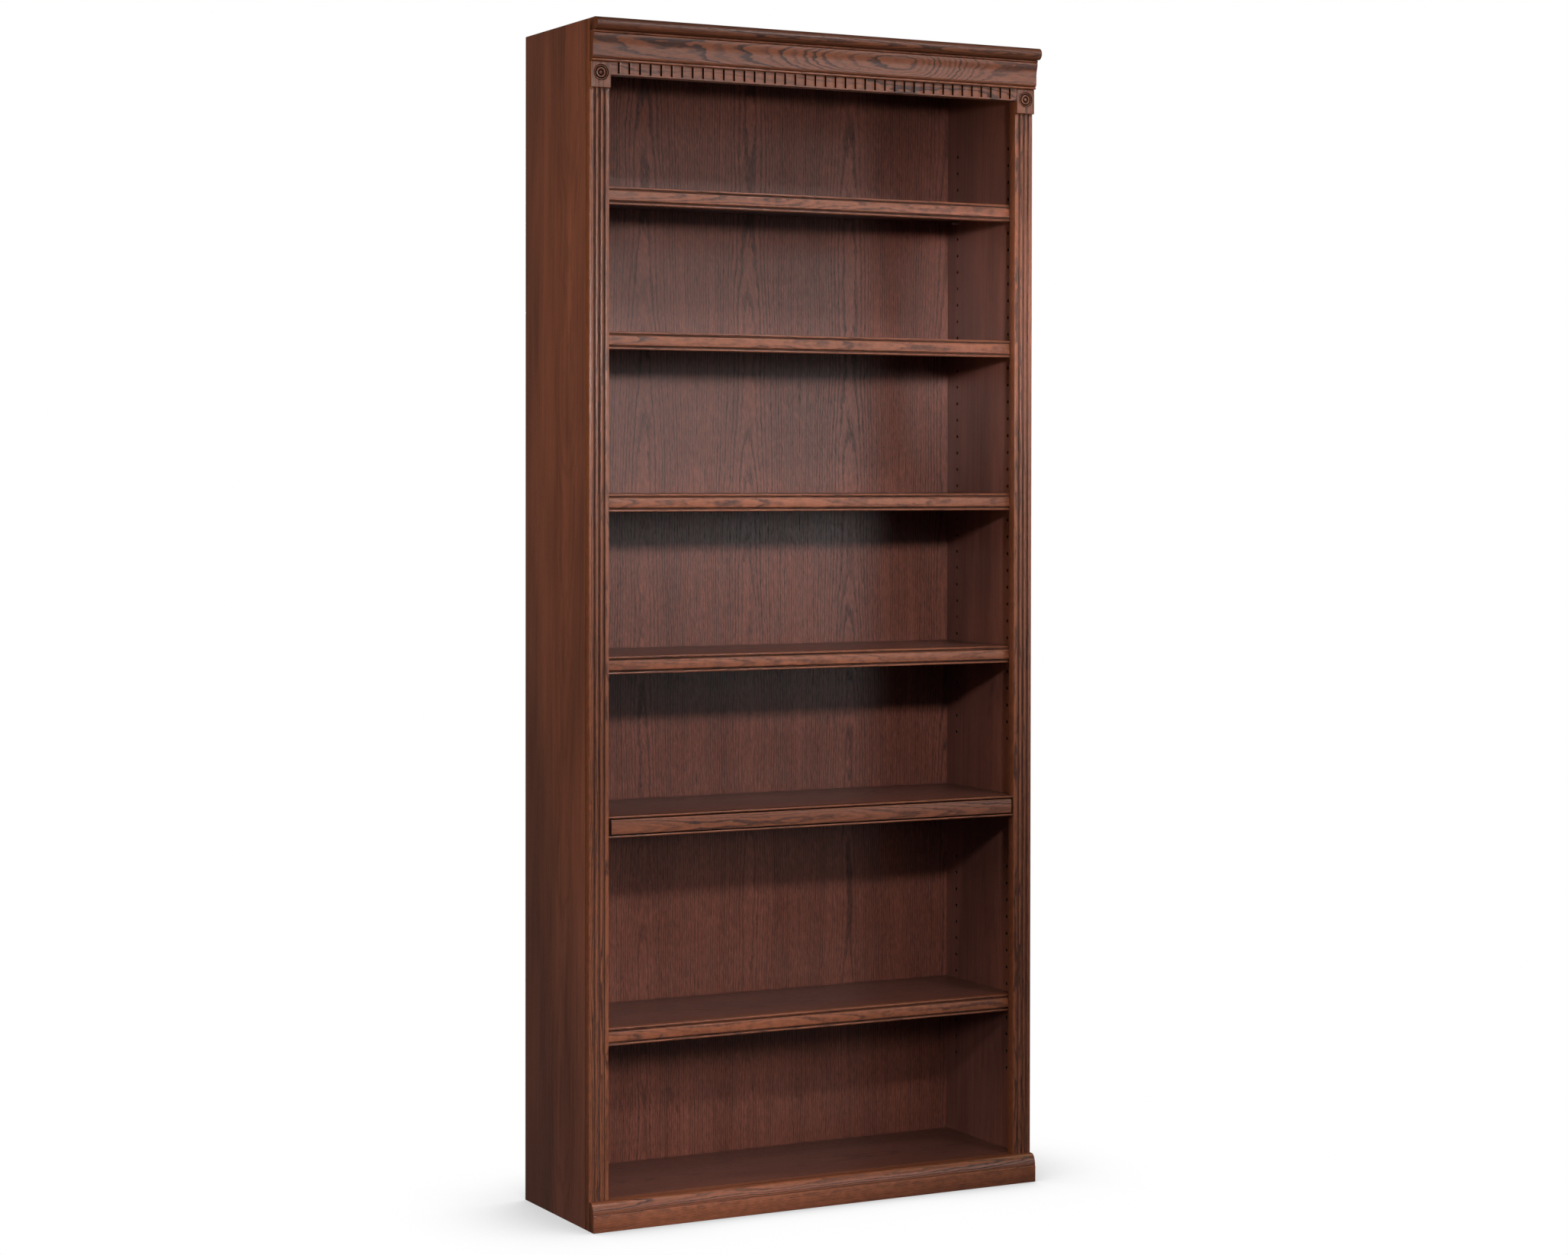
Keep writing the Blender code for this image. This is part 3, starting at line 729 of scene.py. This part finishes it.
def side_panel(side_name, side, material):
    """A side with eased edges, a rabbet for the back, two dadoes and two columns of pin holes."""
    node = f"side_panel_{side_name}"
    low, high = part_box(node)
    inner_x = end_x(low, high, -side)
    panel = rounded_box(low, high, SIDE_EASE)
    panel = cut(panel, side_grooves(side, low, high, inner_x))
    panel = cut(panel, pin_holes(side, inner_x))
    mark_holes(panel, side, inner_x)
    log = Log(Z, X, heart=0.16 * side, beside=0.05, tilt=0.012, start=1.3 + 4.0 * side, lean=0.02)
    finish_piece(f"{node}_board", panel, "case", [node], material, log)


def side_grooves(side, low, high, inner_x):
    """Cutters for the back's rabbet and for the dadoes that house two of the shelves."""
    bm = new_shape()
    back_low, back_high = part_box("back_panel")
    mouth_x = inner_x - side * PAST
    left, right = sorted((mouth_x, end_x(back_low, back_high, side) + side * GAP))
    add_box(bm, (left, back_low.y - GAP, low.z - PAST), (right, high.y + PAST, high.z + PAST))
    for shelf_name in HOUSED_SHELVES:
        shelf_low, shelf_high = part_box(shelf_name)
        left, right = sorted((mouth_x, end_x(shelf_low, shelf_high, side) + side * GAP))
        top = shelf_high.z - TONGUE_DROP + GAP
        add_box(bm, (left, low.y - PAST, shelf_low.z - GAP), (right, back_low.y - 2 * GAP, top))
    return bm


def pin_columns():
    """The two columns' distances along Y, read from a pin in each."""
    places = []
    for end in ("front", "rear"):
        low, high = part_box(f"shelf_1_pin_{end}_left")
        places.append((low.y + high.y) / 2)
    return places


def pin_holes(side, inner_x):
    """Cutters for every pin hole, with a small lip at the mouth."""
    bm = new_shape()
    mouth = HOLE_RADIUS + HOLE_LIP
    profile = ((-PAST, mouth), (0.0, mouth), (HOLE_LIP, HOLE_RADIUS), (HOLE_DEPTH, HOLE_RADIUS))
    columns = pin_columns()
    for first, count in HOLE_COLUMNS:
        for i in range(count):
            for y in columns:
                rings = []
                for depth, radius in profile:
                    points = circle((y, first + i * HOLE_PITCH), radius, HOLE_SEGMENTS)
                    rings.append([add_point(bm, (inner_x + side * depth, v, w)) for v, w in points])
                skin(bm, rings)
    return bm


def mark_holes(bm, side, inner_x):
    """Painted shade darkens the bores."""
    painted_shade = bm.verts.layers.float["painted_shade"]
    columns = pin_columns()
    for vertex in bm.verts:
        depth = (vertex.co.x - inner_x) * side
        near = min(abs(vertex.co.y - y) for y in columns)
        if near < 2 * HOLE_RADIUS and HOLE_LIP / 2 < depth < HOLE_DEPTH + GAP:
            vertex[painted_shade] = 1.0


def back_panel(material):
    """The sheet, cut at the middle and the edges of each veneer leaf so that the grain can turn."""
    low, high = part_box("back_panel")
    turns = [i * LEAF / 2 for i in range(-4, 5)]
    bm = sliced(rounded_box(low, high, SHEET_EASE), X, turns)
    log = Log(Z, Y, heart=0.034, beside=LEAF / 2, tilt=0.020, start=3.1, leaf=LEAF, slip=1.3)
    finish_piece("back_panel_sheet", bm, "case", ["back_panel"], material, log)


def stile_outline(low, high):
    """Plan of a stile in (x, y): three flutes with softened arrises."""
    middle = (low.x + high.x) / 2
    edge = FLUTE_RADIUS + FLUTE_ARRIS
    arris_y = low.y + FLUTE_ARRIS_DEPTH
    points = coated(arc((low.x + EASE, low.y + EASE), (EASE, EASE), 180, 270, ROUND_STEPS), highlight_and_wear=0.6)
    for i in (-1, 0, 1):
        center = middle + i * FLUTE_PITCH
        points.append((center - edge - FLUTE_ARRIS, low.y, 0.0, 0.0))
        points.append((center - edge, arris_y, 0.0, 0.8))
        flute = arc((center, low.y + FLUTE_INSET), (FLUTE_RADIUS, FLUTE_RADIUS), 180, 0, FLUTE_STEPS)
        # Painted shade grows toward the flute's bottom.
        points += [(u, v, min(FLUTE_SHADE, (v - low.y) / FLUTE_RADIUS), 0.0) for u, v in flute]
        points.append((center + edge, arris_y, 0.0, 0.8))
        points.append((center + edge + FLUTE_ARRIS, low.y, 0.0, 0.0))
    points += coated(arc((high.x - EASE, low.y + EASE), (EASE, EASE), 270, 360, ROUND_STEPS), highlight_and_wear=0.6)
    points += [(high.x, high.y, 0.3, 0.0), (low.x, high.y, 0.3, 0.0)]
    return points


def stile(side_name, side, material):
    node = f"stile_{side_name}"
    low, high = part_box(node)
    bm = extruded(stile_outline(low, high), along_z, low.z, high.z)
    log = Log(Z, Y, heart=0.045, beside=0.012 * side, tilt=0.006, start=7.7 + side, lean=0.004)
    finish_piece(f"{node}_piece", bm, "case", [node], material, log)


def cap_outline(low, high):
    """The crown cap: flat top, half-round nose darkened with painted shade, flat underside with a painted
    shadow line at the frieze.
    """
    radius = (high.z - low.z) / 2
    nose = arc((low.y + radius, low.z + radius), (radius, radius), 90, 270, CAP_STEPS)
    points = [(high.y, high.z, 0.0, 0.0)]
    points += coated(nose, painted_shade=CAP_SHADE)
    points.append((high.y - CAP_LINE, low.z, 0.5, 0.0))
    points.append((high.y, low.z, 1.0, 0.0))
    return points


def bead(center, radius):
    """A half-round bead, from its top to its foot."""
    return arc(center, (radius, radius), 90, 270, BEAD_STEPS)


def frieze_outline(low, high):
    """Top bead, quirk, cove, flat, round-over, quirk and foot bead, from the top down."""
    back, top, foot = high.y, high.z, low.z
    # Painted shade lies in the quirks and at the foot, and a painted highlight, partly wear, on the
    # beads' crowns.
    points = [(back, top, 0.6, 0.0)]
    for i, (u, v) in enumerate(bead((back - BEAD_OUT, top - BEAD_RADIUS), BEAD_RADIUS)):
        points.append((u, v, 0.0, 0.9 if 3 < i < 10 else 0.2))
    points.append((back - QUIRK_OUT, top - QUIRK_DROP, 1.0, 0.0))
    points.append((back - COVE_OUT, top - COVE_DROP, 0.0, 0.7))
    for i in range(1, COVE_STEPS + 1):
        share = i / COVE_STEPS
        sweep = (1 + math.cos(math.pi * share)) / 2
        out = mix(FLAT_OUT, COVE_OUT, sweep)
        points.append((back - out, top - COVE_DROP - COVE_HEIGHT * share, 0.0, 0.0))
    center = (back - FLAT_OUT + ROUND_OVER[0], foot + FOOT_HEIGHT + ROUND_OVER[1])
    points += coated(arc(center, ROUND_OVER, 180, 262, ROUND_OVER_STEPS))
    points.append((back - FLAT_OUT + ROUND_OVER[0], foot + FOOT_HEIGHT, 0.8, 0.0))
    for i, (u, v) in enumerate(bead((back - FOOT_OUT, foot + FOOT_BEAD_RADIUS), FOOT_BEAD_RADIUS)):
        points.append((u, v, 0.8 if i == 0 else 0.0, 0.9 if 2 < i < 10 else 0.1))
    points.append((back, foot, 0.6, 0.0))
    return points


def base_outline(low, high):
    """The base board: a plain face, a small step and a quarter-round up to its top."""
    back, top, face = high.y, high.z, low.y
    step = low.z + STEP_HEIGHT
    # Painted shade lies in the step's quirk, and a painted highlight, partly wear, on its nose.
    points = [(back, low.z, 0.5, 0.0)]
    points += coated(arc((face + EASE, low.z + EASE), (EASE, EASE), 270, 180, ROUND_STEPS), highlight_and_wear=0.3)
    nose_center = (face + STEP_NOSE[0], step - STEP_NOSE_DROP)
    points += coated(arc(nose_center, STEP_NOSE, 180, 90, ROUND_STEPS), highlight_and_wear=0.9)
    points.append((face + STEP_DEPTH, step - STEP_QUIRK_DROP, 0.9, 0.0))
    round_center = (face + STEP_DEPTH + BASE_ROUND_DEPTH, step)
    round_radii = (BASE_ROUND_DEPTH, top - low.z - STEP_HEIGHT)
    points += coated(arc(round_center, round_radii, 180, 90, BASE_ROUND_STEPS))
    points.append((back, top, 0.4, 0.0))
    return points


def nosing_outline(low, high, margin):
    """Two fillets with a raised band between them, and a quirk on each side of the band."""
    corner = (BAND_ROUND, BAND_ROUND)
    fillet_center = (FILLET_RECESS + BAND_ROUND, -BAND_ROUND)
    # Painted shade lies in the quirks, and a painted highlight, partly wear, along the arrises.
    edge = coated(arc(fillet_center, corner, 90, 180, BAND_STEPS), highlight_and_wear=0.35)
    edge.append((FILLET_RECESS, -FILLET_HEIGHT + FILLET_CHAMFER[1], 0.0, 0.8))
    edge.append((FILLET_RECESS + FILLET_CHAMFER[0], -FILLET_HEIGHT, 0.1, 0.5))
    edge.append((QUIRK_IN, -FILLET_HEIGHT - QUIRK_SLOPE, QUIRK_SHADE, 0.0))
    edge.append((QUIRK_IN, -margin, QUIRK_SHADE, 0.0))
    edge += coated(arc((BAND_ROUND, -margin - BAND_ROUND), corner, 90, 180, BAND_STEPS), highlight_and_wear=0.7)
    height = high.z - low.z
    depth = high.y - low.y
    mirrored = [(u, -height - v, painted_shade, highlight_and_wear) for u, v, painted_shade, highlight_and_wear in reversed(edge)]
    outline = [(depth, 0.0, 0.2, 0.0), *edge, *mirrored, (depth, -height, 0.2, 0.0)]
    return [(low.y + u, high.z + v, painted_shade, highlight_and_wear) for u, v, painted_shade, highlight_and_wear in outline]


def fixed_nosing(material):
    """The fixed shelf's nosing, whose raised band stops short of the stiles."""
    node = "fixed_shelf_nosing"
    low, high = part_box(node)
    bm = extruded(nosing_outline(low, high, FIXED_BAND_MARGIN), along_x, low.x, high.x)
    notches = new_shape()
    bottom = low.z + FILLET_HEIGHT + NOTCH_MARGIN
    top = high.z - FILLET_HEIGHT - NOTCH_MARGIN
    for side in (-1, 1):
        end = end_x(low, high, side)
        left, right = sorted((end - side * BAND_END_GAP, end + side * PAST))
        add_box(notches, (left, low.y - PAST, bottom), (right, low.y + NOTCH_DEPTH, top))
    bm = cut(bm, notches)
    # Painted shade darkens the notches at the band's ends.
    painted_shade = bm.verts.layers.float["painted_shade"]
    for vertex in bm.verts:
        at_end = min(vertex.co.x - low.x, high.x - vertex.co.x) < BAND_END_GAP + PAST / 4
        if at_end and NOTCH_DEPTH - GAP < vertex.co.y - low.y < QUIRK_IN + GAP:
            vertex[painted_shade] = 1.0
    log = Log(X, Y, heart=0.030, beside=0.004, tilt=0.02, start=12.4)
    finish_piece(f"{node}_piece", bm, "case", [node], material, log)


def dentil_outline(low, high, kerf_depth, painted_shade):
    """Plan of the strip at one height, with its kerfs cut to kerf_depth and darkened with painted shade.
    """
    points = [(low.x, high.y, 0.4, 0.0), (low.x, low.y, 0.0, 0.3)]
    middle = (low.x + high.x) / 2
    half = KERF_WIDTH / 2
    soft = min(KERF_ARRIS, kerf_depth)
    wall = (  # distance out from the kerf's side, depth, painted shade, painted highlight with wear
        (KERF_ARRIS, 0.0, 0.0, 0.0),
        (KERF_ARRIS / 3, soft / 3, 0.0, 0.8),
        (0.0, soft, painted_shade * 0.8, 0.0),
        (0.0, mix(soft, kerf_depth, 0.2), painted_shade, 0.0),
        (0.0, kerf_depth, painted_shade, 0.0),
    )
    for i in range(KERF_COUNT):
        x = middle + (i - (KERF_COUNT - 1) / 2) * KERF_PITCH
        points += [(x - half - out, low.y + depth, dark, highlight_and_wear) for out, depth, dark, highlight_and_wear in wall]
        points += [(x + half + out, low.y + depth, dark, highlight_and_wear) for out, depth, dark, highlight_and_wear in wall[::-1]]
    points += [(high.x, low.y, 0.0, 0.3), (high.x, high.y, 0.4, 0.0)]
    return points


def dentil(material):
    """One strip of teeth, whose kerfs run out just above its bottom edge."""
    low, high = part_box("dentil_moulding")
    bm = new_shape()
    floor_z = low.z + KERF_FLOOR
    levels = (  # height, kerf depth, painted shade
        (low.z, KERF_FADED, 0.0),
        (floor_z - KERF_RUN_OUT, KERF_FADED, 0.0),
        (floor_z + KERF_RUN_OUT, KERF_DEPTH, 1.0),
        (high.z, KERF_DEPTH, 1.0),
    )
    rings = []
    for z, depth, painted_shade in levels:
        outline = dentil_outline(low, high, depth, painted_shade)
        rings.append([add_point(bm, (x, y, z), dark, highlight_and_wear) for x, y, dark, highlight_and_wear in outline])
    skin(bm, rings)
    log = Log(X, Y, heart=0.040, beside=0.006, tilt=0.012, start=21.0)
    finish_piece("dentil_teeth", bm, "case", ["dentil_moulding"], material, log)


def rosette_block(side_name, side, material):
    """A corner block with a turned bull's-eye let into its face."""
    node = f"rosette_block_{side_name}"
    low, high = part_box(node)
    bm = rounded_box(low, high)
    center = ((low.x + high.x) / 2, high.z - ROSETTE_DROP)
    face = min(bm.faces, key=lambda candidate: candidate.calc_center_median().y)
    border = list(face.edges)
    bm.faces.remove(face)
    rings = []
    for radius, depth, painted_shade in ROSETTE_RINGS[1:]:
        points = circle(center, radius, ROSETTE_SEGMENTS)
        rings.append([add_point(bm, (x, low.y + depth, z), painted_shade) for x, z in points])
    tip = add_point(bm, (center[0], low.y + ROSETTE_RINGS[0][1], center[1]))
    turns = [(i, (i + 1) % ROSETTE_SEGMENTS) for i in range(ROSETTE_SEGMENTS)]
    for i, j in turns:
        bm.faces.new((tip, rings[0][i], rings[0][j]))
    for one, two in zip(rings, rings[1:]):
        bridge(bm, one, two)
    rim = [bm.edges.get((rings[-1][i], rings[-1][j])) for i, j in turns]
    bmesh.ops.triangle_fill(bm, edges=border + rim, use_beauty=True, use_dissolve=False)
    log = Log(Z, Y, heart=0.05, beside=0.01 * side, start=31.0 + side)
    finish_piece(f"{node}_piece", bm, "case", [node], material, log)


def shelf(number, inside, front):
    """An adjustable shelf's board and nosing, each from a different part of its log."""
    body = f"shelf_{number}"
    heart, beside, start = 0.05 + 0.004 * number, 0.02 * (number - 3), 40.0 + 2.3 * number
    log = Log(X, Z, heart, beside, tilt=0.02, start=start)
    board(f"adjustable_shelf_{number}", inside, log, body)
    node = f"shelf_{number}_nosing"
    outline = nosing_outline(*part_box(node), BAND_MARGIN)
    heart, beside, start = 0.028 + 0.003 * number, 0.003 * number - 0.008, 60.0 + 1.7 * number
    log = Log(X, Y, heart, beside, tilt=0.018, start=start)
    moulding(node, outline, front, log, body)


def pin(number, end, side_name, side, steel):
    """A shelf pin: a rounded stem, a collar and a head with a flat top."""
    node = f"shelf_{number}_pin_{end}_{side_name}"
    low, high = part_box(node)
    inner_x = end_x(*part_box(f"side_panel_{side_name}"), -side)
    tip = abs(end_x(low, high, side) - inner_x)
    nose = abs(end_x(low, high, -side) - inner_x)
    head = (high.y - low.y) / 2
    center = ((low.y + high.y) / 2, low.z + head)
    flat = high.z
    stem = flat - center[1]
    profile = [(tip - inset, stem * share, False) for inset, share in PIN_TIP]
    profile.append((-GAP, stem, False))
    profile += [(-GAP - inset, head * share, True) for inset, share in PIN_COLLAR]
    profile += [(-nose + inset, head * share, True) for inset, share in PIN_HEAD]
    bm = new_shape()
    rings = []
    for past_face, radius, flattened in profile:
        x = inner_x + side * past_face
        points = circle(center, radius, PIN_SEGMENTS)
        rings.append([add_point(bm, (x, y, min(z, flat) if flattened else z)) for y, z in points])
    skin(bm, rings)
    finish_piece(f"{node}_piece", bm, node, [node], steel)


# ---- the studio ----


def lamp(name, place, target, width, height, power, color, spread):
    """An oval area light that looks at its target."""
    light = bpy.data.lights.new(name, "AREA")
    light.spread = math.radians(spread)
    light.shape = "ELLIPSE"
    light.size = width
    light.size_y = height
    light.energy = power
    light.color = color
    obj = bpy.data.objects.new(name, light)
    obj.location = place
    obj.rotation_euler = (Vector(target) - Vector(place)).to_track_quat("-Z", "Y").to_euler()
    bpy.context.scene.collection.objects.link(obj)


def surroundings():
    """A white world that looks bright to the camera but lights the case only a little."""
    world = bpy.data.worlds.new("studio")
    bpy.context.scene.world = world
    world.use_nodes = True
    nodes, links = world.node_tree.nodes, world.node_tree.links
    background = nodes["Background"]
    background.inputs["Color"].default_value = (*WHITE, 1.0)
    path = nodes.new("ShaderNodeLightPath")
    strength = nodes.new("ShaderNodeMapRange")
    strength.inputs["To Min"].default_value = WORLD_LIGHT
    strength.inputs["To Max"].default_value = WORLD_SEEN
    links.new(path.outputs["Is Camera Ray"], strength.inputs["Value"])
    links.new(strength.outputs[0], background.inputs["Strength"])
    bpy.context.scene.view_settings.view_transform = "Standard"


def floor():
    mesh = bpy.data.meshes.new("floor")
    bm = bmesh.new()
    bmesh.ops.create_circle(bm, cap_ends=True, segments=FLOOR_SEGMENTS, radius=FLOOR_RADIUS)
    bm.to_mesh(mesh)
    bm.free()
    mesh.materials.append(floor_material())
    obj = bpy.data.objects.new("floor", mesh)
    obj.location.z = CAD_LOW.z - FLOOR_GAP
    obj.visible_diffuse = False
    obj.visible_glossy = False
    bpy.context.scene.collection.objects.link(obj)


def camera():
    data = bpy.data.cameras.new("camera")
    data.lens = LENS
    data.sensor_width = SENSOR_WIDTH
    data.shift_y = SHIFT_UP
    data.clip_end = FAR_CLIP
    obj = bpy.data.objects.new("camera", data)
    obj.location = CAMERA_PLACE
    turn = Euler(CAMERA_TURN, "XYZ").to_matrix() @ Euler((0.0, 0.0, CAMERA_ROLL), "XYZ").to_matrix()
    obj.rotation_euler = turn.to_euler()
    bpy.context.scene.collection.objects.link(obj)
    bpy.context.scene.camera = obj


def front_wood():
    late, early = (0.216, 0.069, 0.033), (0.042, 0.013, 0.009)
    return oak("oak_front_wood", late, early, ring=0.0024, contrast=0.92, pores=1.0, jag=0.8)


def side_wood():
    late, early = (0.166, 0.061, 0.045), (0.088, 0.033, 0.028)
    return oak("oak_side_wood", late, early, contrast=0.30, pores=0.18, fleck=0.10, blotch=0.75)


def inside_wood():
    late, early = (0.122, 0.045, 0.032), (0.050, 0.018, 0.014)
    return oak("oak_inside_wood", late, early, contrast=0.6, pores=0.5)


def back_wood():
    late, early = (0.165, 0.055, 0.036), (0.055, 0.018, 0.013)
    return oak("oak_back_wood", late, early, ring=0.0044, contrast=0.7, pores=0.95, fleck=0.8, blotch=0.5)


def plain_boards(side, front, inside):
    """The case's boards without a moulded edge, apart from the cleats."""
    board("top_panel", side, Log(X, Z, heart=0.08, beside=0.02, tilt=0.015, start=84.0))
    board("top_rail", front, Log(X, Y, heart=0.05, start=86.0))
    board("bottom_rail", front, Log(X, Y, heart=0.05, start=88.0))
    board("bottom_shelf", inside, Log(X, Z, heart=0.06, beside=0.03, tilt=0.02, start=90.0))
    board("fixed_shelf", inside, Log(X, Z, heart=0.05, beside=-0.02, tilt=0.02, start=92.0))
    board("rear_base_rail", inside, Log(X, Y, heart=0.05, start=94.0))


def mouldings(front):
    """The crown's cap and frieze, and the base board."""
    log = Log(X, Y, heart=0.06, beside=0.02, tilt=0.01, start=96.0)
    moulding("crown_cap", cap_outline(*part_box("crown_cap")), front, log)
    log = Log(X, Y, heart=FRIEZE_HEART, start=98.6)
    moulding("crown_frieze", frieze_outline(*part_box("crown_frieze")), front, log)
    log = Log(X, Y, heart=0.032, beside=-0.040, tilt=0.012, start=101.0)
    moulding("base_board", base_outline(*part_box("base_board")), front, log)


def main():
    front, side, inside, back = front_wood(), side_wood(), inside_wood(), back_wood()
    steel = nickel("nickel_plate")
    for side_name, sign in SIDES:
        side_panel(side_name, sign, side)
        stile(side_name, sign, front)
        rosette_block(side_name, sign, front)
        board(f"base_cleat_{side_name}", inside, Log(Y, X, heart=0.04, start=80.0 + sign))
    back_panel(back)
    plain_boards(side, front, inside)
    fixed_nosing(front)
    mouldings(front)
    dentil(front)
    for number in SHELF_NUMBERS:
        shelf(number, inside, front)
        for end in ("front", "rear"):
            for side_name, sign in SIDES:
                pin(number, end, side_name, sign, steel)
    for settings in LAMPS:
        lamp(*settings)
    surroundings()
    floor()
    camera()


main()
